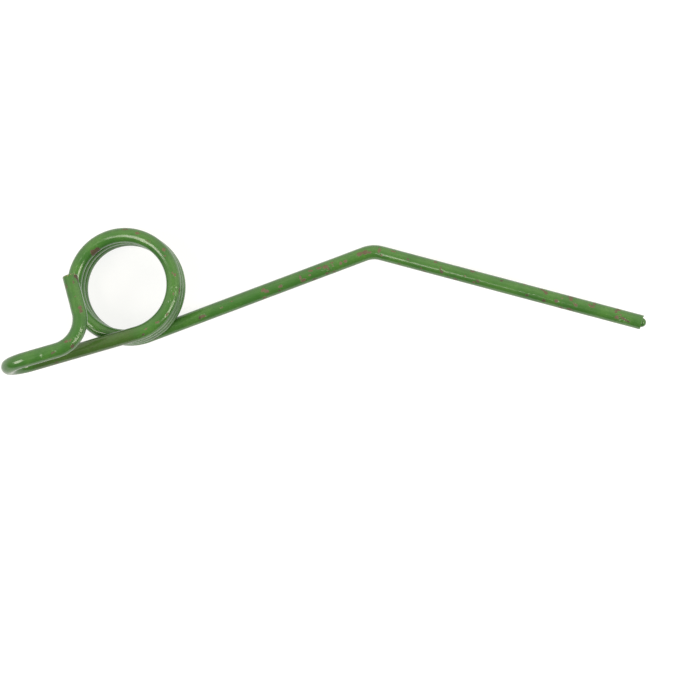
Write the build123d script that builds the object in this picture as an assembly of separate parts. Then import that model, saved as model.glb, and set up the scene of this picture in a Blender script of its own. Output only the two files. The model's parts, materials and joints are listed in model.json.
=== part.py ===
"""Reel tine: one length of round spring wire wound into a coil between a long arm and a hook.

The wire is drawn in the coil's own frame first, with the coil's axis upright. The finished
tine is then laid down as it rests on a flat surface, which is the frame it is written in:
+Z up off the surface, +X along the tine towards the arm's tip, and the origin where the
coil's axis meets the surface. Sizes are in millimetres and degrees.
"""
from build123d import *
import math
import os

# Wire
wire_diameter = 7.0
edge_break = 0.35

# Coil, left handed, with a small gap between neighbouring turns
eye_diameter = 41.5
full_turns = 3
turn_gap = 0.45

# Directions in the coil's plan, anticlockwise from +X
arm_heading = 21.65
leg_heading = 197.4

# Arm: eased out of the coil's lead, a long run, a knee and a second run to the tip
arm_ease_radius = 40.0
arm_rise = -0.93
arm_inner_length = 111.4
knee_inside_radius = 9.8
knee_angle = 36.3
knee_roll = 6.8
arm_outer_length = 129.6

# Paint drop that hangs on the end face of the tip
drop_radius = 2.2

# Hook: a leg, a loop that turns back over it, a return run, an elbow and a short end
leg_length = 51.0
loop_gap = 12.85
loop_angle = 180.0
loop_roll = 2.0
return_length = 15.1
elbow_inside_radius = 11.3
elbow_angle = 89.6
elbow_roll = -6.2
short_end_length = 17.8

# How finely the centre line is read when the tine is laid down
reading_step = 0.5
settling_passes = 8

wire_radius = wire_diameter / 2
coil_radius = (eye_diameter + wire_diameter) / 2
pitch = wire_diameter + turn_gap
arm_leaves_at = arm_heading - 90
leg_leaves_at = leg_heading - 270
winding_angle = 360 * full_turns + arm_leaves_at - leg_leaves_at
upright = Vector(0, 0, 1)


def square_to(heading, direction):
    """Unit vector square to the heading and as near as can be to the direction."""
    return (direction - heading * direction.dot(heading)).normalized()


def rolled(heading, direction, roll):
    """Unit vector square to the heading, turned from the direction by roll degrees."""
    start = square_to(heading, direction)
    return start * math.cos(math.radians(roll)) + heading.cross(start) * math.sin(math.radians(roll))


def section(place, heading):
    """The wire's round section at a place, square to its heading."""
    return Plane(origin=place, z_dir=heading) * Circle(wire_radius)


def quartered_section(place, heading):
    """The same section with its edge in quarter arcs, so that the coil's skin is four slender faces."""
    quarters = [CenterArc((0, 0), wire_radius, 90 * i, 90) for i in range(4)]
    return Plane(origin=place, z_dir=heading) * Face(Wire(quarters))


class WireEnd:
    """The free end of the wire, fed out and bent one stretch at a time."""

    def __init__(self, place, heading):
        self.place = place
        self.heading = heading.normalized()
        self.solids = []
        self.lines = []

    def feed(self, length):
        """A straight run."""
        self.solids.append(extrude(section(self.place, self.heading), length, dir=self.heading))
        finish = self.place + self.heading * length
        self.lines.append(Line(self.place, finish))
        self.place = finish

    def bend(self, radius, angle, towards):
        """A round bend of the centre line, towards a unit vector square to the heading."""
        centre = self.place + towards * radius
        axis = Axis(centre, self.heading.cross(towards))
        self.solids.append(revolve(section(self.place, self.heading), axis, angle))
        turn = math.radians(angle)
        half = self.around(centre, radius, towards, turn / 2)
        finish = self.around(centre, radius, towards, turn)
        self.lines.append(ThreePointArc(self.place, half, finish))
        self.place = finish
        self.heading = (self.heading * math.cos(turn) + towards * math.sin(turn)).normalized()

    def around(self, centre, radius, towards, turn):
        """The point of a bend after a turn in radians."""
        return centre - towards * (radius * math.cos(turn)) + self.heading * (radius * math.sin(turn))


def make_coil():
    """The coil's centre line, rising from where the arm leaves it, and its wire."""
    rise = pitch * winding_angle / 360
    line = Helix(pitch, rise, coil_radius, lefthand=True).rotate(Axis.Z, arm_leaves_at)
    wire = sweep(quartered_section(line @ 0, line % 0), path=line, is_frenet=True)
    return line, wire


def make_arm(coil_line):
    """The arm, from the bottom of the coil out to its tip."""
    end = WireEnd(coil_line @ 0, (coil_line % 0) * -1)
    lead = math.degrees(math.asin(end.heading.Z))
    end.bend(arm_ease_radius, arm_rise - lead, square_to(end.heading, upright))
    end.feed(arm_inner_length)
    across = end.heading.cross(upright)
    end.bend(knee_inside_radius + wire_radius, knee_angle, rolled(end.heading, across, -knee_roll))
    end.feed(arm_outer_length)
    return end


def make_hook(coil_line):
    """The hook, from the top of the coil round its loop to the short end."""
    end = WireEnd(coil_line @ 1, coil_line % 1)
    end.feed(leg_length)
    end.bend((loop_gap + wire_diameter) / 2, loop_angle, rolled(end.heading, upright, loop_roll))
    end.feed(return_length)
    across = Vector(0, 1, 0)
    end.bend(elbow_inside_radius + wire_radius, elbow_angle, rolled(end.heading, across, elbow_roll))
    end.feed(short_end_length)
    return end


def break_end_edge(solid, end):
    """The cut edge at a free end of the wire, slightly broken."""
    rim = solid.edges().sort_by(lambda edge: (edge.center() - end.place).length)[0]
    return chamfer(rim, edge_break)


def read_line(line):
    """Points along a centre line, a reading step apart."""
    count = math.ceil(line.length / reading_step)
    return [line @ (i / count) for i in range(count + 1)]


def surface_under(coil_line, arm):
    """The plane that the tine rests on.

    It is touched by the far side of the low turn, the arm where it leaves the coil, and the arm
    from the knee outwards.
    """
    low_turn = [point for point in read_line(coil_line) if pitch / 4 < point.Z < pitch * 3 / 4]
    arm_root = read_line(arm.lines[0])
    arm_end = [point for line in arm.lines[2:] for point in read_line(line)]
    up = upright
    for _ in range(settling_passes):
        feet = [min(points, key=up.dot) for points in (low_turn, arm_root, arm_end)]
        up = (feet[1] - feet[0]).cross(feet[2] - feet[0]).normalized()
        if up.Z < 0:
            up = up * -1
    below = min(point.dot(up) for point in feet) - wire_radius
    return Plane(origin=upright * (below / up.Z), x_dir=square_to(up, Vector(1, 0, 0)), z_dir=up)


def make_tine():
    """The whole tine as one solid, lying on its surface."""
    coil_line, coil = make_coil()
    arm = make_arm(coil_line)
    hook = make_hook(coil_line)
    wire = coil
    for stretch in arm.solids + hook.solids:
        wire = wire + stretch
    wire = break_end_edge(wire, arm)
    wire = break_end_edge(wire, hook)
    wire = wire + Pos(arm.place) * Sphere(drop_radius)
    return surface_under(coil_line, arm).to_local_coords(wire)


os.makedirs("parts", exist_ok=True)
export_step(make_tine(), "parts/reel_tine.step")
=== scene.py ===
"""Reel tine in glossy green paint, lying on a white floor and seen from straight above.

The wire's painted skin replaces the plain solid: the same centre line and section, with the
paint's chips, pimples and drop modelled on it. Everything is in metres, in the row's frame:
+Z up off the floor, +X along the tine towards the arm's tip, origin where the coil's axis
meets the floor. Places read off the photograph are in its pixels, from its top left corner.
"""
import json
import math
import random

import bpy
import numpy as np
from mathutils import Matrix, Vector, noise
from mathutils.bvhtree import BVHTree


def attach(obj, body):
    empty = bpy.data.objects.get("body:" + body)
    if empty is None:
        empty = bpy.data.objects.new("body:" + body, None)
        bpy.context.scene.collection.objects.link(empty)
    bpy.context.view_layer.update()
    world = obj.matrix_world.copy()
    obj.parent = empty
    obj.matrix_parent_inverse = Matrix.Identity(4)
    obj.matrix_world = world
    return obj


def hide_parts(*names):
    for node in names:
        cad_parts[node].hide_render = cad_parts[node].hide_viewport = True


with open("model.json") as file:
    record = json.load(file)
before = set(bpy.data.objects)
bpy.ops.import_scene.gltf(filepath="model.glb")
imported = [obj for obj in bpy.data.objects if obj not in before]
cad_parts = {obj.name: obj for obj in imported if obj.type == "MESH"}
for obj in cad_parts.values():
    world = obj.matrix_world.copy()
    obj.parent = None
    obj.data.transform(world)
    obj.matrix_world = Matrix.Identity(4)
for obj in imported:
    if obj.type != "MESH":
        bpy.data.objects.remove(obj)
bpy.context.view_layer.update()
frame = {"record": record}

MM = 0.001

# Wire and coil
WIRE_RADIUS = 3.5 * MM
EYE_DIAMETER = 41.5 * MM
TURN_GAP = 0.45 * MM
FULL_TURNS = 3
ARM_HEADING = 21.65
LEG_HEADING = 197.4

# Arm, from the coil to the tip
ARM_EASE_RADIUS = 40.0 * MM
ARM_RISE = -0.93
ARM_INNER_LENGTH = 111.4 * MM
KNEE_RADIUS = 9.8 * MM + WIRE_RADIUS
KNEE_ANGLE = 36.3
KNEE_ROLL = 6.8
ARM_OUTER_LENGTH = 129.6 * MM

# Hook, from the coil to the short end
LEG_LENGTH = 51.0 * MM
LOOP_RADIUS = 12.85 * MM / 2 + WIRE_RADIUS
LOOP_ANGLE = 180.0
LOOP_ROLL = 2.0
RETURN_LENGTH = 15.1 * MM
ELBOW_RADIUS = 11.3 * MM + WIRE_RADIUS
ELBOW_ANGLE = 89.6
ELBOW_ROLL = -6.2
SHORT_END_LENGTH = 17.8 * MM

COIL_RADIUS = EYE_DIAMETER / 2 + WIRE_RADIUS
PITCH = 2 * WIRE_RADIUS + TURN_GAP

# Free ends: a slightly broken edge, and the drop of paint on the tip's face
EDGE_BREAK = 0.35 * MM
EDGE_STEPS = 3
DROP_RADIUS = 2.15 * MM
DROP_PROUD = 2.05 * MM

# Mesh of the wire
RING_STEP = 0.5 * MM
RING_SIDES = 48
MAP_ROWS = 6
MAP_MARGIN = 0.006

# Camera, and the picture it is fitted to
CAMERA_PLACE = Vector((128.80, -34.27, 908.28)) * MM
CAMERA_RIGHT = Vector((0.99957, 0.01767, -0.02342))
CAMERA_UP = Vector((-0.0175, 0.99982, 0.00762))
CAMERA_LENS = 95.72
SENSOR_WIDTH = 36.0
PICTURE_SIZE = 700

SEED = 11
UP = np.array([0.0, 0.0, 1.0])

# Chips in the paint: place in the picture, half length along the wire and half width across
# it in pixels, turn from the wire's line in degrees, and darkness of the steel from 0 to 1
CHIPS = [
    # arm between coil and knee
    (202.5, 316.3, 3.2, 1.5, 0, 0.3),
    (221.4, 307.9, 1.3, 0.9, 0, 0.2),
    (231.2, 301.2, 1.4, 0.7, 20, 0.1),
    (262.8, 290.0, 2.4, 1.4, -20, 0.2),
    (266.5, 291.2, 2.4, 1.8, 20, 0.3),
    (264.5, 297.6, 1.8, 0.8, 0, 0.2),
    (280.5, 286.3, 2.6, 1.5, 0, 0.3),
    (280.0, 290.3, 1.6, 0.7, 0, 0.8),
    (300.2, 277.4, 1.4, 2.2, 0, 0.3),
    (303.2, 280.4, 3.2, 1.6, -10, 0.4),
    (310.4, 270.8, 2.6, 1.3, 10, 0.2),
    (309.8, 275.2, 1.4, 1.0, 0, 0.1),
    (314.4, 279.2, 2.4, 0.8, 0, 0.7),
    (318.8, 267.8, 2.8, 1.3, 0, 0.2),
    (325.3, 266.9, 3.2, 1.7, 0, 0.3),
    (328.4, 268.9, 0.9, 1.6, 0, 0.3),
    (331.6, 262.8, 2.2, 0.8, 0, 0.1),
    (332.6, 265.0, 0.8, 1.4, 0, 0.1),
    (327.6, 273.3, 2.8, 0.9, 0, 0.5),
    (334.0, 271.5, 2.2, 0.6, 0, 0.3),
    (340.6, 263.2, 1.5, 1.9, 0, 0.2),
    (345.4, 261.2, 1.9, 1.6, 0, 0.2),
    # knee
    (359.4, 254.2, 3.2, 2.0, 0, 0.3),
    (364.9, 252.3, 2.6, 2.2, 0, 0.4),
    (369.4, 252.5, 2.6, 1.2, 0, 0.3),
    (379.2, 250.2, 1.2, 2.9, 0, 0.1),
    (381.5, 255.2, 1.1, 1.0, 0, 0.1),
    # arm between knee and tip
    (393.5, 251.4, 2.6, 0.7, 0, 0.0),
    (407.8, 259.2, 1.6, 0.8, 20, 0.5),
    (399.1, 264.1, 1.9, 0.6, 0, 0.3),
    (414.9, 252.6, 1.0, 0.6, 0, 0.5),
    (421.0, 268.2, 1.4, 0.8, 0, 0.2),
    (424.1, 271.2, 1.8, 0.6, 0, 0.3),
    (435.3, 261.9, 1.8, 1.0, 0, 0.3),
    (440.7, 268.0, 0.9, 2.0, 0, 0.4),
    (441.6, 272.0, 1.9, 1.3, 0, 0.7),
    (448.1, 277.0, 1.6, 0.7, 0, 0.5),
    (455.2, 279.2, 2.0, 0.7, 0, 0.3),
    (464.9, 275.8, 1.2, 0.8, 0, 0.0),
    (472.6, 271.2, 2.6, 0.9, 0, 0.3),
    (474.0, 282.4, 1.9, 0.8, 0, 0.3),
    (477.7, 281.2, 2.2, 1.2, 15, 0.8),
    (501.6, 280.7, 1.5, 0.8, 0, 0.8),
    (526.8, 295.2, 2.0, 1.1, 0, 0.9),
    (524.5, 284.4, 1.8, 0.6, 0, 0.3),
    (542.3, 289.8, 2.8, 0.9, 0, 0.4),
    (544.6, 291.2, 1.3, 1.2, 30, 0.3),
    (546.0, 293.0, 1.9, 1.7, 0, 0.4),
    (543.7, 300.7, 2.3, 1.2, 0, 0.8),
    (556.6, 301.2, 2.0, 1.9, 0, 0.5),
    (562.0, 298.2, 1.3, 1.1, 0, 0.1),
    (561.0, 307.8, 2.4, 0.7, 0, 0.2),
    (569.6, 309.3, 3.2, 0.9, 0, 0.4),
    (570.9, 297.3, 3.2, 0.9, 0, 0.4),
    (570.9, 299.8, 1.9, 1.3, 0, 0.3),
    (573.6, 303.4, 1.2, 1.0, 0, 0.3),
    (575.8, 305.0, 2.0, 1.6, 20, 0.3),
    (589.2, 304.9, 1.2, 1.6, 0, 0.3),
    (592.3, 306.6, 2.6, 1.3, 0, 0.3),
    (594.3, 303.9, 1.6, 1.5, 0, 0.3),
    (616.0, 311.4, 1.6, 1.4, 0, 0.4),
    (618.7, 310.0, 2.6, 0.8, 0, 0.3),
    (616.9, 317.4, 2.5, 1.7, 0, 0.4),
    (620.9, 315.2, 1.1, 0.8, 0, 0.1),
    (622.7, 318.5, 2.6, 1.2, 10, 0.5),
    (625.6, 320.1, 1.6, 0.9, 0, 0.7),
    (628.5, 321.7, 1.6, 0.9, 0, 0.9),
    # coil
    (137.2, 233.2, 2.2, 1.3, 0, 0.1),
    (125.6, 229.3, 2.4, 0.6, 0, 0.2),
    (148.4, 241.3, 2.8, 0.8, 0, 0.2),
    (164.0, 249.6, 1.9, 1.8, 0, 0.1),
    (165.0, 255.8, 1.0, 0.9, 0, 0.0),
    (172.6, 272.6, 1.5, 1.0, 0, 0.1),
    (175.0, 274.9, 1.5, 1.0, 0, 0.1),
    (173.4, 293.4, 2.0, 0.9, 0, 0.0),
    (179.6, 290.6, 2.6, 0.8, 0, 0.7),
    (167.1, 314.3, 2.0, 0.9, 0, 0.1),
    (157.3, 322.3, 2.0, 1.4, 20, 0.1),
    (143.4, 334.5, 1.4, 1.2, 0, 0.9),
    (145.8, 329.0, 1.4, 0.7, 0, 0.0),
    (94.4, 253.2, 3.8, 3.1, 0, 0.7),
    (97.8, 250.2, 3.2, 2.3, 0, 0.7),
    (199.7, 317.8, 1.2, 1.8, 0, 0.9),
    (192.1, 326.8, 2.0, 0.8, 0, 0.3),
    # hook
    (73.2, 282.2, 1.9, 1.0, 0, 0.4),
    (75.2, 296.4, 0.9, 0.7, 0, 0.4),
    (80.1, 307.4, 1.9, 1.9, 0, 0.3),
    (81.1, 311.2, 2.2, 1.7, 15, 0.4),
    (66.4, 286.6, 2.4, 0.6, 0, 0.3),
    (66.3, 341.4, 2.4, 1.4, 0, 0.3),
    (70.2, 340.2, 2.2, 1.0, 0, 0.3),
    (72.6, 346.3, 2.3, 1.5, 0, 0.6),
    (53.1, 352.5, 2.5, 0.8, -15, 0.7),
    # this chip's dark steel is partly painted shade, as it sits on the leg's shaded lower side
    (56.4, 362.4, 1.8, 0.7, 0, 0.7),
    # bare strip that runs down from the short end's edge
    (75.2, 275.2, 1.6, 1.6, 0, 0.9),
    (76.6, 276.4, 2.2, 1.6, 0, 0.9),
    (77.6, 278.2, 2.4, 1.3, 0, 0.9),
    (78.4, 280.4, 2.0, 0.8, 0, 0.9),
]

# Pimples and sags in the paint: place, half length, half width, turn, height in millimetres
BUMPS = [
    (169.0, 300.8, 1.3, 1.3, 0, 0.30),
    (174.0, 298.6, 1.6, 1.1, 0, 0.16),
    (98.9, 247.2, 1.3, 1.2, 0, 0.26),
    (42.3, 355.4, 1.0, 5.2, 12, 0.22),
    (44.2, 359.6, 1.6, 0.9, 0, 0.14),
    (174.6, 287.6, 0.7, 4.4, 0, -0.07),
    (521.0, 288.0, 1.2, 1.0, 0, 0.10),
    (535.2, 293.8, 1.0, 0.9, 0, 0.12),
    (503.7, 290.0, 1.2, 0.9, 0, 0.08),
    (625.4, 321.9, 1.4, 0.9, 0, 0.16),
    (619.6, 320.8, 1.4, 0.9, 0, 0.14),
    (80.6, 327.0, 2.2, 0.9, 20, 0.12),
    (83.0, 330.8, 2.4, 0.8, -15, 0.14),
    (79.4, 333.6, 2.0, 0.8, 10, 0.12),
    (85.4, 325.0, 1.8, 0.8, 0, 0.10),
]

# Patches where the paint is lumpy: place, half length and half width in pixels
LUMPY = [
    (83.5, 331.5, 7.0, 3.6),
    (76.0, 338.0, 5.0, 3.0),
    (42.0, 356.5, 3.0, 4.0),
    (54.0, 350.5, 5.0, 2.2),
    (173.5, 289.5, 5.0, 5.0),
    (170.5, 301.0, 4.0, 5.0),
    (180.5, 295.0, 8.0, 3.0),
    (98.0, 248.5, 4.5, 3.0),
    (91.0, 257.0, 4.0, 2.5),
    (622.0, 319.5, 7.0, 3.0),
    (576.0, 301.0, 6.0, 4.0),
    (544.0, 292.0, 4.0, 3.0),
    (326.0, 269.0, 9.0, 4.0),
    (363.0, 253.5, 7.0, 3.0),
    (203.0, 317.0, 6.0, 5.0),
]

# What the photograph doesn't show of the wire carries the same wear, sown at random
SOWN_CHIPS = 95
SOWN_BUMPS = 60


def unit(v):
    return v / np.linalg.norm(v)


def square_to(heading, direction):
    """Unit vector square to the heading and as near as can be to the direction."""
    return unit(direction - heading * direction.dot(heading))


def rolled(heading, direction, roll):
    """Unit vector square to the heading, turned from the direction by roll degrees."""
    start = square_to(heading, direction)
    return start * math.cos(math.radians(roll)) + np.cross(heading, start) * math.sin(math.radians(roll))


class WireEnd:
    """The free end of the wire's centre line, fed out and bent one stretch at a time."""

    def __init__(self, place, heading):
        self.place = place
        self.heading = unit(heading)
        self.places = [place]
        self.headings = [self.heading]

    def feed(self, length):
        """A straight run."""
        start = self.place
        count = max(2, round(length / RING_STEP))
        for i in range(1, count + 1):
            self.places.append(start + self.heading * (length * i / count))
            self.headings.append(self.heading)
        self.place = self.places[-1]

    def bend(self, radius, angle, towards):
        """A round bend towards a unit vector square to the heading."""
        start, ahead = self.place, self.heading
        turn = math.radians(angle)
        count = max(4, round(radius * turn / RING_STEP))
        for i in range(1, count + 1):
            t = turn * i / count
            self.places.append(start + towards * (radius * (1 - math.cos(t))) + ahead * (radius * math.sin(t)))
            self.headings.append(unit(ahead * math.cos(t) + towards * math.sin(t)))
        self.place = self.places[-1]
        self.heading = self.headings[-1]


def coil_line():
    """Places and headings up the left-handed coil, in the coil's own frame."""
    start = math.radians(ARM_HEADING - 90)
    winding = math.radians(360 * FULL_TURNS + ARM_HEADING - 90 - (LEG_HEADING - 270))
    lead = PITCH / (2 * math.pi)
    count = round(winding * math.hypot(COIL_RADIUS, lead) / RING_STEP)
    places, headings = [], []
    for i in range(count + 1):
        t = winding * i / count
        c, s = math.cos(start - t), math.sin(start - t)
        places.append(np.array([COIL_RADIUS * c, COIL_RADIUS * s, lead * t]))
        headings.append(unit(np.array([COIL_RADIUS * s, -COIL_RADIUS * c, lead])))
    return places, headings


def laying_turn():
    """Turns the coil's frame into the row's, from the way that the record says the coil's axis points."""
    mounts = {mount["name"]: mount for mount in frame["record"]["mounts"]}
    axis = unit(np.array(mounts["coil_eye"]["axis"], float))
    level = math.sqrt(1 - axis[1] ** 2)
    x = np.array([0.0, -axis[0] * axis[1] / level, axis[0]])
    x[0] = math.sqrt(1 - x[1] ** 2 - x[2] ** 2)
    y = np.array([0.0, level, axis[1]])
    return np.array([x, y, np.cross(x, y)])


def wire_line():
    """The whole centre line in the row's frame, from the arm's tip to the short end, with its headings."""
    coil, coil_headings = coil_line()
    arm = WireEnd(coil[0], -coil_headings[0])
    lead = math.degrees(math.asin(arm.heading[2]))
    arm.bend(ARM_EASE_RADIUS, ARM_RISE - lead, square_to(arm.heading, UP))
    arm.feed(ARM_INNER_LENGTH)
    arm.bend(KNEE_RADIUS, KNEE_ANGLE, rolled(arm.heading, np.cross(arm.heading, UP), -KNEE_ROLL))
    arm.feed(ARM_OUTER_LENGTH)

    hook = WireEnd(coil[-1], coil_headings[-1])
    hook.feed(LEG_LENGTH)
    hook.bend(LOOP_RADIUS, LOOP_ANGLE, rolled(hook.heading, UP, LOOP_ROLL))
    hook.feed(RETURN_LENGTH)
    hook.bend(ELBOW_RADIUS, ELBOW_ANGLE, rolled(hook.heading, np.array([0.0, 1.0, 0.0]), ELBOW_ROLL))
    hook.feed(SHORT_END_LENGTH)

    line = np.array(arm.places[:0:-1] + coil + hook.places[1:])
    ahead = np.array([-h for h in arm.headings[:0:-1]] + coil_headings + hook.headings[1:])
    turn = laying_turn()
    line = line @ turn.T
    ahead = ahead @ turn.T
    axis = turn[:, 2]
    line += axis * ((WIRE_RADIUS - line[:, 2].min()) / axis[2])
    return line, ahead


def carried_sides(ahead):
    """Two unit vectors square to each heading, carried along the line without twist."""
    side = square_to(ahead[0], UP)
    sides = []
    for heading in ahead:
        side = square_to(heading, side)
        sides.append(side)
    sides = np.array(sides)
    return sides, np.cross(ahead, sides)


class Wire:
    """The wire's skin as rings of points, each with its place along and round the wire."""

    def __init__(self):
        line, ahead = wire_line()
        steps = np.linalg.norm(np.diff(line, axis=0), axis=1)
        along = np.concatenate([[0.0], np.cumsum(steps)])
        sides, others = carried_sides(ahead)
        self.length = along[-1]
        inner = (along > EDGE_BREAK * 1.5) & (along < self.length - EDGE_BREAK * 1.5)
        first = [(0, offset, radius) for offset, radius in self.tip_profile()]
        last = [(len(line) - 1, offset, radius) for offset, radius in self.short_end_profile()]
        body = [(i, 0.0, WIRE_RADIUS) for i in np.flatnonzero(inner)]
        rings = first + body + last
        index = np.array([r[0] for r in rings])
        offset = np.array([r[1] for r in rings])
        self.radius = np.array([r[2] for r in rings])
        self.heading = ahead[index]
        self.centre = line[index] + self.heading * offset[:, None]
        self.side = sides[index]
        self.other = others[index]
        self.along = along[index] + offset
        self.capped = np.array([True] * len(first) + [False] * len(body) + [True] * len(last))
        self.leg_ends = self.length - math.radians(ELBOW_ANGLE) * ELBOW_RADIUS - SHORT_END_LENGTH - RETURN_LENGTH
        self.leg_ends -= math.radians(LOOP_ANGLE) * LOOP_RADIUS
        self.angle = np.arange(RING_SIDES) * (2 * math.pi / RING_SIDES)
        c, s = np.cos(self.angle)[None, :, None], np.sin(self.angle)[None, :, None]
        self.normal = c * self.side[:, None, :] + s * self.other[:, None, :]
        self.first = first
        self.last = last

    def edge_profile(self, outwards):
        """Rings round a broken edge, from the wire's skin to its end face, as (offset, radius)."""
        rings = []
        for i in range(EDGE_STEPS + 1):
            t = math.pi / 2 * i / EDGE_STEPS
            back = EDGE_BREAK * (1 - math.sin(t))
            rings.append((outwards * -back, WIRE_RADIUS - EDGE_BREAK * (1 - math.cos(t))))
        return rings

    def short_end_profile(self):
        face = WIRE_RADIUS - EDGE_BREAK
        return self.edge_profile(1) + [(0.0, face * share) for share in (0.82, 0.6, 0.38, 0.18)]

    def tip_profile(self):
        """From the middle of the paint drop to the wire's skin."""
        face = WIRE_RADIUS - EDGE_BREAK
        drop = []
        for degrees in (8, 20, 34, 48, 62, 76, 90, 104):
            t = math.radians(degrees)
            drop.append((-DROP_PROUD * max(math.cos(t), -0.1), DROP_RADIUS * math.sin(t)))
        drop = [(min(offset, 0.0), radius) for offset, radius in drop]
        foot = [(0.0, DROP_RADIUS * 1.04), (0.0, (face + DROP_RADIUS) / 2)]
        return drop + foot + self.edge_profile(-1)[::-1]

    def points(self, height):
        """The skin's points, raised by height at each."""
        reach = self.radius[:, None] + height
        return self.centre[:, None, :] + self.normal * reach[:, :, None]


def camera_ray(x, y):
    """Direction from the camera through a place in the picture."""
    back = CAMERA_RIGHT.cross(CAMERA_UP).normalized()
    up = back.cross(CAMERA_RIGHT).normalized()
    scale = SENSOR_WIDTH / (CAMERA_LENS * PICTURE_SIZE)
    middle = PICTURE_SIZE / 2
    return (CAMERA_RIGHT.normalized() * ((x - middle) * scale) - up * ((y - middle) * scale) - back).normalized()


def make_camera():
    data = bpy.data.cameras.new("camera")
    data.lens = CAMERA_LENS
    data.sensor_width = SENSOR_WIDTH
    data.clip_start = 0.01
    data.clip_end = 20
    camera = bpy.data.objects.new("camera", data)
    bpy.context.scene.collection.objects.link(camera)
    back = CAMERA_RIGHT.cross(CAMERA_UP).normalized()
    up = back.cross(CAMERA_RIGHT).normalized()
    turn = Matrix((CAMERA_RIGHT.normalized(), up, back)).transposed()
    camera.matrix_world = Matrix.Translation(CAMERA_PLACE) @ turn.to_4x4()
    bpy.context.scene.camera = camera


class Marks:
    """Places on the wire, and fields of them over its skin."""

    def __init__(self, wire):
        self.wire = wire
        points = wire.points(0.0).reshape(-1, 3)
        rings = len(wire.along)
        start = np.arange(rings - 1)[:, None] * RING_SIDES
        j = np.arange(RING_SIDES)[None, :]
        k = (j + 1) % RING_SIDES
        self.quads = np.stack([start + j, start + RING_SIDES + j, start + RING_SIDES + k, start + k], -1).reshape(-1, 4)
        self.tree = BVHTree.FromPolygons([Vector(p) for p in points], self.quads.tolist())

    def seen_at(self, x, y):
        """(place along, angle round, pixels per metre, foreshortening across) of the skin at a place in the picture."""
        ray = camera_ray(x, y)
        hit, normal, face, distance = self.tree.ray_cast(CAMERA_PLACE, ray)
        if hit is None:
            return None
        ring = face // RING_SIDES
        out = np.array(hit) - self.wire.centre[ring]
        along = self.wire.along[ring] + out @ self.wire.heading[ring]
        angle = math.atan2(out @ self.wire.other[ring], out @ self.wire.side[ring])
        scale = CAMERA_LENS / SENSOR_WIDTH * PICTURE_SIZE / distance
        facing = max(0.45, abs(normal.normalized().dot(ray)))
        return along, angle, scale, facing

    def shows(self, along, angle):
        """True where the photograph shows the skin, so that nothing is sown over it."""
        wire = self.wire
        ring = int(np.argmin(np.abs(wire.along - along)))
        out = math.cos(angle) * wire.side[ring] + math.sin(angle) * wire.other[ring]
        place = Vector(wire.centre[ring] + out * WIRE_RADIUS)
        hit = self.tree.ray_cast(CAMERA_PLACE, (place - CAMERA_PLACE).normalized())[0]
        return hit is None or (hit - place).length < 2 * MM

    def blob(self, along, angle, half_length, half_width, turn):
        """How far inside an oval each point of the skin is, in metres, below zero outside."""
        wire = self.wire
        u = (wire.along - along)[:, None]
        v = (wire.angle - angle + math.pi) % (2 * math.pi) - math.pi
        v = v[None, :] * WIRE_RADIUS
        c, s = math.cos(math.radians(turn)), math.sin(math.radians(turn))
        a = (u * c + v * s) / half_length
        b = (v * c - u * s) / half_width
        return (1 - np.sqrt(a * a + b * b)) * min(half_length, half_width)


def ragged(points, scale, depth):
    """Smooth noise at each point."""
    flat = points.reshape(-1, 3)
    values = [noise.fractal(Vector(p) * scale, 0.6, 2.0, depth) for p in flat]
    return np.array(values).reshape(points.shape[:2])


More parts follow.
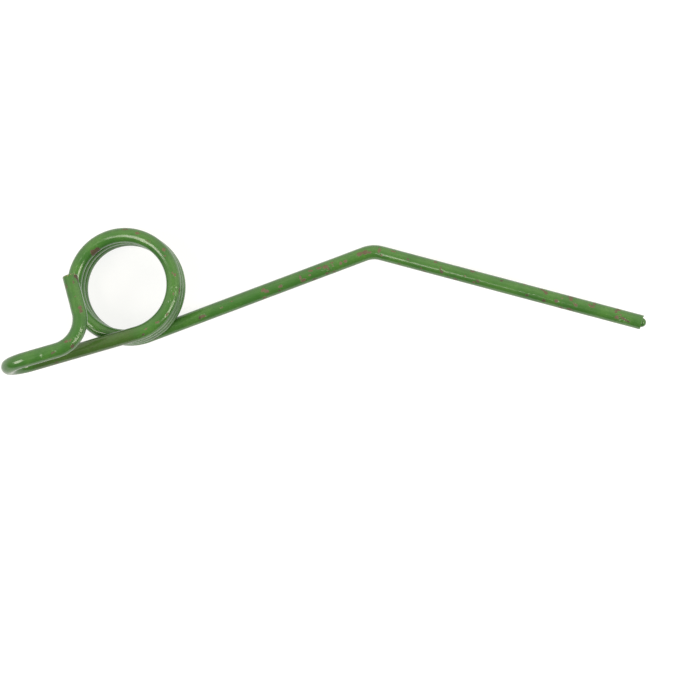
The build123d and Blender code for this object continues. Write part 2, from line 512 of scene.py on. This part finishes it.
def paint_wear(wire):
    """Fields over the skin: how far inside a chip, how dark its steel, and the paint's height."""
    marks = Marks(wire)
    dice = random.Random(SEED)
    shape = (len(wire.along), RING_SIDES)
    chip = np.full(shape, -1.0)
    dark = np.zeros(shape)
    height = np.zeros(shape)
    lumpy = np.zeros(shape)

    def add_chip(along, angle, half_length, half_width, turn, darkness):
        nonlocal chip, dark
        field = marks.blob(along, angle, half_length, half_width, turn)
        dark = np.where(field > chip, darkness, dark)
        chip = np.maximum(chip, field)

    def add_bump(along, angle, half_length, half_width, turn, rise):
        nonlocal height
        field = marks.blob(along, angle, half_length * 1.6, half_width * 1.6, turn)
        share = np.clip(field / (min(half_length, half_width) * 1.6), 0, 1)
        height = height + rise * (share * share * (3 - 2 * share))

    missed = 0
    for x, y, length, width, turn, darkness in CHIPS:
        seen = marks.seen_at(x, y)
        if seen is None:
            missed += 1
            continue
        along, angle, scale, facing = seen
        add_chip(along, angle, length / scale, width / scale / facing, turn, darkness)
    for x, y, length, width, turn, rise in BUMPS:
        seen = marks.seen_at(x, y)
        if seen is None:
            missed += 1
            continue
        along, angle, scale, facing = seen
        add_bump(along, angle, length / scale, width / scale / facing, turn, rise * MM)
    for x, y, length, width in LUMPY:
        seen = marks.seen_at(x, y)
        if seen is None:
            missed += 1
            continue
        along, angle, scale, facing = seen
        field = marks.blob(along, angle, length / scale, width / scale / facing, 0)
        lumpy = np.maximum(lumpy, np.clip(field / (min(length, width) / scale) * 2, 0, 1))
    print("marks off the wire:", missed)

    sown = 0
    while sown < SOWN_CHIPS:
        along = dice.uniform(0.002, wire.length - 0.002)
        angle = dice.uniform(-math.pi, math.pi)
        length = dice.uniform(0.35, 1.4) * MM
        width = length * dice.uniform(0.45, 0.9)
        turn = dice.uniform(-30, 30)
        darkness = dice.choice((0.1, 0.3, 0.4, 0.8))
        if marks.shows(along, angle):
            continue
        add_chip(along, angle, length, width, turn, darkness)
        sown += 1
    for _ in range(SOWN_BUMPS):
        along = dice.uniform(0.002, wire.length - 0.002)
        angle = dice.uniform(-math.pi, math.pi)
        size = dice.uniform(0.25, 0.5) * MM
        add_bump(along, angle, size * dice.uniform(1, 1.6), size, 0, dice.uniform(0.03, 0.08) * MM)

    points = wire.points(0.0)
    chip = chip + ragged(points, 1000, 3) * 0.32 * MM
    chip = np.where(wire.capped[:, None], -1.0 * MM, chip)
    height = height + ragged(points, 160, 3) * 0.018 * MM
    depth = np.clip(chip / (0.25 * MM) + 0.5, 0, 1)
    rim = np.exp(-((chip + 0.3 * MM) / (0.25 * MM)) ** 2)
    height = height - depth * 0.10 * MM + rim * 0.025 * MM
    return marks, chip, dark, height, lumpy


def make_wire():
    wire = Wire()
    marks, chip, dark, height, lumpy = paint_wear(wire)
    height = np.where(wire.capped[:, None], 0.0, height)
    points = wire.points(height)
    points = roughen_tip(wire, points)
    rings = len(wire.along)
    verts = points.reshape(-1, 3)
    poles = np.array([
        wire.centre[0] - wire.heading[0] * (DROP_PROUD * 0.01),
        wire.centre[-1],
    ])
    first_pole, last_pole = len(verts), len(verts) + 1
    last_ring = (rings - 1) * RING_SIDES
    fans = [(first_pole, j, (j + 1) % RING_SIDES) for j in range(RING_SIDES)]
    fans += [(last_pole, last_ring + (j + 1) % RING_SIDES, last_ring + j) for j in range(RING_SIDES)]
    mesh = bpy.data.meshes.new("tine_wire")
    mesh.from_pydata(np.concatenate([verts, poles]).tolist(), [], marks.quads.tolist() + fans)
    mesh.update()
    mesh.polygons.foreach_set("use_smooth", [True] * len(mesh.polygons))
    write_field(mesh, "chip", np.concatenate([chip.ravel() / MM, [-1.0, -1.0]]))
    write_field(mesh, "dark", np.concatenate([dark.ravel(), [0.0, 0.0]]))
    write_field(mesh, "lumpy", np.concatenate([lumpy.ravel(), [0.0, 0.0]]))
    end = np.where(wire.along > wire.length - EDGE_BREAK * 1.2, 1.0, 0.0)
    write_field(mesh, "short_end", np.concatenate([np.repeat(end, RING_SIDES), [0.0, 1.0]]))
    # The leg, from the coil to the hook's loop, is coloured a darker, more olive green, faded in over 8 mm at each end
    from_leg = np.maximum(wire.along - wire.leg_ends, wire.leg_ends - LEG_LENGTH - wire.along)
    leg_darkening = np.clip(0.5 - from_leg / (8 * MM), 0, 1)
    write_field(mesh, "leg_darkening", np.concatenate([np.repeat(leg_darkening, RING_SIDES), [0.0, 0.0]]))
    write_map(mesh, wire, rings)
    tine = bpy.data.objects.new("tine_wire", mesh)
    bpy.context.scene.collection.objects.link(tine)
    return tine


def roughen_tip(wire, points):
    """The small burr that stands proud of the tip's edge, the nick beside it and the fold in the drop."""
    towards = {"burr": (645.2, 315.8), "nick": (643.6, 318.4)}
    out = points.copy()
    heading = wire.heading[0]
    for ring in range(len(wire.first)):
        offset, radius = wire.first[ring][1], wire.first[ring][2]
        at_edge = radius > WIRE_RADIUS - EDGE_BREAK * 1.2
        for j in range(RING_SIDES):
            normal = wire.normal[ring, j]
            if at_edge:
                upper = normal[1]
                burr = math.exp(-((upper - 0.97) / 0.05) ** 2) * 0.32 * MM
                nick = math.exp(-((upper - 0.80) / 0.07) ** 2) * 0.18 * MM * (normal[2] > 0)
                out[ring, j] -= heading * (burr - nick)
            elif radius <= DROP_RADIUS and offset < 0:
                wave = noise.noise(Vector(normal) * 1.7 + Vector((0, 0, offset * 900)))
                out[ring, j] += normal * (wave * 0.16 * MM)
    return out


def write_field(mesh, name, values):
    attribute = mesh.attributes.new(name, "FLOAT", "POINT")
    attribute.data.foreach_set("value", np.asarray(values, np.float32))


def write_map(mesh, wire, rings):
    """A flat map of the skin, in rows: along the wire one way and round it the other."""
    layer = mesh.uv_layers.new(name="OFBake")
    step = np.hypot(np.diff(wire.along), np.diff(wire.radius))
    reach = np.concatenate([[0.0], np.cumsum(step)]) + MM
    length = reach[-1] + MM
    loops = np.empty(len(mesh.loops), np.int32)
    mesh.loops.foreach_get("vertex_index", loops)
    quads = (rings - 1) * RING_SIDES
    faces = np.concatenate([np.repeat(np.arange(quads), 4), np.repeat(np.arange(2 * RING_SIDES), 3)])
    side_of_face = faces % RING_SIDES
    fan = np.arange(len(loops)) >= quads * 4
    near = fan & (np.arange(len(loops)) < quads * 4 + RING_SIDES * 3)
    pole = loops >= rings * RING_SIDES
    ring = np.minimum(loops // RING_SIDES, rings - 1)
    along = reach[ring]
    along = np.where(pole & near, 0.0, along)
    along = np.where(pole & ~near, length, along)
    face_ring = np.where(fan, np.where(near, 0, rings - 2), faces // RING_SIDES)
    row_length = length / MAP_ROWS
    row = np.minimum(reach[face_ring] // row_length, MAP_ROWS - 1)
    side = loops % RING_SIDES
    side = np.where((side == 0) & (side_of_face == RING_SIDES - 1), RING_SIDES, side)
    side = np.where(pole, side_of_face + 0.5, side)
    u = MAP_MARGIN + (along / row_length - row) * (1 - 3 * MAP_MARGIN)
    v = (row + MAP_MARGIN * MAP_ROWS + side / RING_SIDES * (1 - 2 * MAP_MARGIN * MAP_ROWS)) / MAP_ROWS
    layer.data.foreach_set("uv", np.stack([u, v], -1).astype(np.float32).ravel())


class Nodes:
    """Short ways to add and join shader nodes."""

    def __init__(self, tree):
        self.tree = tree

    def add(self, kind, **settings):
        node = self.tree.nodes.new(kind)
        for name, value in settings.items():
            setattr(node, name, value)
        return node

    def join(self, output, socket):
        self.tree.links.new(output, socket)

    def noise(self, scale, detail=2.0, roughness=0.5, where=None):
        node = self.add("ShaderNodeTexNoise")
        node.inputs["Scale"].default_value = scale
        node.inputs["Detail"].default_value = detail
        node.inputs["Roughness"].default_value = roughness
        if where is not None:
            self.join(where, node.inputs["Vector"])
        return node.outputs["Fac"]

    def ramp(self, value, low, high, start=0.0, end=1.0):
        """Value from start to end as the input goes from low to high, smoothly."""
        node = self.add("ShaderNodeMapRange", interpolation_type="SMOOTHSTEP")
        self.join(value, node.inputs["Value"])
        node.inputs["From Min"].default_value = low
        node.inputs["From Max"].default_value = high
        node.inputs["To Min"].default_value = start
        node.inputs["To Max"].default_value = end
        return node.outputs["Result"]

    def sum(self, a, b, operation="ADD"):
        node = self.add("ShaderNodeMath", operation=operation)
        for socket, value in zip(node.inputs, (a, b)):
            if isinstance(value, (int, float)):
                socket.default_value = value
            else:
                self.join(value, socket)
        return node.outputs["Value"]

    def mix(self, share, a, b):
        """Colour a turning into b as share goes from 0 to 1."""
        node = self.add("ShaderNodeMix", data_type="RGBA")
        for socket, value in ((node.inputs["Factor"], share), (node.inputs[6], a), (node.inputs[7], b)):
            if isinstance(value, tuple):
                socket.default_value = (*value, 1.0)
            elif isinstance(value, (int, float)):
                socket.default_value = value
            else:
                self.join(value, socket)
        return node.outputs[2]

    def blend(self, share, a, b):
        """Number a turning into b as share goes from 0 to 1."""
        node = self.add("ShaderNodeMix", data_type="FLOAT")
        for socket, value in ((node.inputs[0], share), (node.inputs[2], a), (node.inputs[3], b)):
            if isinstance(value, (int, float)):
                socket.default_value = value
            else:
                self.join(value, socket)
        return node.outputs[0]


PAINT = (0.064, 0.196, 0.037)
PAINT_DEEP = (0.048, 0.162, 0.031)
PAINT_LIGHT = (0.080, 0.222, 0.043)
# Darker, more olive green laid over the leg
PAINT_LEG_DARKENED = (0.060, 0.110, 0.026)
CHIP_BROWN = (0.145, 0.108, 0.060)
CHIP_DARK = (0.038, 0.029, 0.017)
CHIP_RUST = (0.160, 0.090, 0.046)
# Pale bare steel at the short end's cut, partly standing for painted glints
BARE_STEEL_AND_GLINT = (0.42, 0.30, 0.17)


def paint_material():
    """Glossy green paint with brown steel in its chips."""
    material = bpy.data.materials.new("green_paint")
    material.use_nodes = True
    n = Nodes(material.node_tree)
    shader = material.node_tree.nodes["Principled BSDF"]
    where = n.add("ShaderNodeTexCoord").outputs["Object"]

    chip_field = n.add("ShaderNodeAttribute", attribute_name="chip").outputs["Fac"]
    dark_field = n.add("ShaderNodeAttribute", attribute_name="dark").outputs["Fac"]
    end_field = n.add("ShaderNodeAttribute", attribute_name="short_end").outputs["Fac"]
    lumpy_field = n.add("ShaderNodeAttribute", attribute_name="lumpy").outputs["Fac"]

    fine = n.noise(2300, 3.0, 0.65, where)
    edge = n.sum(chip_field, n.sum(n.sum(fine, 0.5, "SUBTRACT"), 0.9, "MULTIPLY"))
    chip = n.ramp(edge, -0.10, 0.12)

    cloudy = n.noise(90, 3.0, 0.55, where)
    mottled = n.noise(1100, 4.0, 0.65, where)
    green = n.mix(n.ramp(cloudy, 0.35, 0.65), PAINT_DEEP, PAINT_LIGHT)
    green = n.mix(n.ramp(mottled, 0.35, 0.65, 0.0, 0.6), green, PAINT_DEEP)
    # Darker, more olive green over the leg, below the hook's return run
    leg_darkening_field = n.add("ShaderNodeAttribute", attribute_name="leg_darkening").outputs["Fac"]
    green = n.mix(n.sum(n.ramp(mottled, 0.30, 0.60, 0.45, 0.8), leg_darkening_field, "MULTIPLY"), green, PAINT_LEG_DARKENED)
    specks = n.noise(1500, 2.0, 0.5, where)
    green = n.mix(n.ramp(specks, 0.70, 0.80, 0.0, 0.55), green, CHIP_BROWN)

    steel = n.mix(dark_field, CHIP_BROWN, CHIP_DARK)
    steel = n.mix(n.ramp(n.noise(1400, 3.0, 0.6, where), 0.45, 0.7, 0.0, 0.6), steel, CHIP_RUST)
    colour = n.mix(chip, green, steel)
    # Pale specks on the short end's face and edge: bare steel, partly painted glints
    glint = n.ramp(n.noise(1100, 2.0, 0.5, where), 0.56, 0.66)
    colour = n.mix(n.sum(glint, end_field, "MULTIPLY"), colour, BARE_STEEL_AND_GLINT)
    n.join(colour, shader.inputs["Base Color"])

    gloss = n.ramp(n.noise(320, 3.0, 0.6, where), 0.3, 0.7, 0.15, 0.24)
    n.join(n.blend(chip, gloss, 0.55), shader.inputs["Roughness"])
    shader.inputs["IOR"].default_value = 1.6

    peel = n.add("ShaderNodeBump")
    peel.inputs["Strength"].default_value = 1.0
    peel.inputs["Distance"].default_value = MM
    ripple = n.sum(n.noise(650, 3.0, 0.5, where), 0.022, "MULTIPLY")
    lumps = n.sum(n.ramp(n.noise(750, 2.0, 0.5, where), 0.4, 0.7), n.sum(lumpy_field, 0.11, "MULTIPLY"), "MULTIPLY")
    depth = n.sum(chip, 0.05, "MULTIPLY")
    n.join(n.sum(n.sum(ripple, lumps), depth, "SUBTRACT"), peel.inputs["Height"])
    n.join(peel.outputs["Normal"], shader.inputs["Normal"])
    return material


FLOOR_SHADE = 0.30
FLOOR_GLOW = 0.83


def make_floor():
    """A white floor: half its white is lit, so that the tine's shadow shows, and half glows for what looks at it."""
    reach = 4.0
    mesh = bpy.data.meshes.new("floor")
    mesh.from_pydata([(-reach, -reach, 0), (reach, -reach, 0), (reach, reach, 0), (-reach, reach, 0)], [], [(0, 1, 2, 3)])
    floor = bpy.data.objects.new("floor", mesh)
    bpy.context.scene.collection.objects.link(floor)
    material = bpy.data.materials.new("white_floor")
    material.use_nodes = True
    n = Nodes(material.node_tree)
    material.node_tree.nodes.remove(material.node_tree.nodes["Principled BSDF"])
    matt = n.add("ShaderNodeBsdfDiffuse")
    matt.inputs["Color"].default_value = (FLOOR_SHADE, FLOOR_SHADE, FLOOR_SHADE, 1)
    glow = n.add("ShaderNodeEmission")
    path = n.add("ShaderNodeLightPath")
    seen = n.sum(path.outputs["Is Camera Ray"], path.outputs["Is Glossy Ray"], "MAXIMUM")
    seen = n.sum(seen, path.outputs["Is Transmission Ray"], "MAXIMUM")
    n.join(n.sum(seen, FLOOR_GLOW, "MULTIPLY"), glow.inputs["Strength"])
    both = n.add("ShaderNodeAddShader")
    n.join(matt.outputs["BSDF"], both.inputs[0])
    n.join(glow.outputs["Emission"], both.inputs[1])
    n.join(both.outputs["Shader"], material.node_tree.nodes["Material Output"].inputs["Surface"])
    mesh.materials.append(material)


# Direction from the tine, distance, width, height, radiance, colour, and whether gloss shows it
AIM = Vector((0.07, -0.01, 0.02))
LAMPS = {
    "softbox_left": ((-0.53, -0.27, 0.80), 1.5, 0.78, 0.96, 7.2, (1.0, 0.95, 0.84), True),
    "softbox_right": ((0.70, -0.22, 0.68), 1.5, 0.66, 0.66, 8.0, (1.0, 0.93, 0.80), True),
    "panel_back": ((0.32, 0.72, 0.62), 1.7, 2.6, 1.8, 1.60, (1.0, 0.95, 0.74), False),
}
WORLD_LEVEL = 0.11
WORLD_TINT = (1.0, 0.97, 0.82)
WORLD_TOP = 0.55
WORLD_DARK = 0.10


def make_lamps():
    for name, (direction, distance, width, height, radiance, colour, shown) in LAMPS.items():
        data = bpy.data.lights.new(name, "AREA")
        data.shape = "RECTANGLE"
        data.size = width
        data.size_y = height
        data.energy = radiance * math.pi * width * height
        data.color = colour
        lamp = bpy.data.objects.new(name, data)
        bpy.context.scene.collection.objects.link(lamp)
        away = Vector(direction).normalized()
        lamp.location = AIM + away * distance
        lamp.rotation_euler = away.to_track_quat("Z", "Y").to_euler()
        lamp.visible_glossy = shown


def make_world():
    """A white studio whose light fades towards the side at the foot of the picture."""
    world = bpy.data.worlds.new("studio")
    bpy.context.scene.world = world
    world.use_nodes = True
    background = world.node_tree.nodes["Background"]
    n = Nodes(world.node_tree)
    parts = n.add("ShaderNodeSeparateXYZ")
    n.join(n.add("ShaderNodeTexCoord").outputs["Generated"], parts.inputs["Vector"])
    lit = n.ramp(parts.outputs["Y"], -0.60, 0.35, WORLD_DARK, 1.0)
    lit = n.sum(lit, n.ramp(parts.outputs["Z"], 0.70, 0.98, 1.0, WORLD_TOP), "MULTIPLY")
    path = n.add("ShaderNodeLightPath")
    seen = n.sum(path.outputs["Is Glossy Ray"], path.outputs["Is Transmission Ray"], "MAXIMUM")
    level = n.sum(n.blend(seen, WORLD_LEVEL, 1.0), lit, "MULTIPLY")
    n.join(n.blend(path.outputs["Is Camera Ray"], level, 1.0), background.inputs["Strength"])
    n.join(n.mix(path.outputs["Is Camera Ray"], WORLD_TINT, (1.0, 1.0, 1.0)), background.inputs["Color"])


make_camera()
tine = make_wire()
tine.data.materials.append(paint_material())
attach(tine, "root")
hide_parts("reel_tine")
make_floor()
make_lamps()
make_world()
bpy.context.scene.view_settings.view_transform = "Standard"
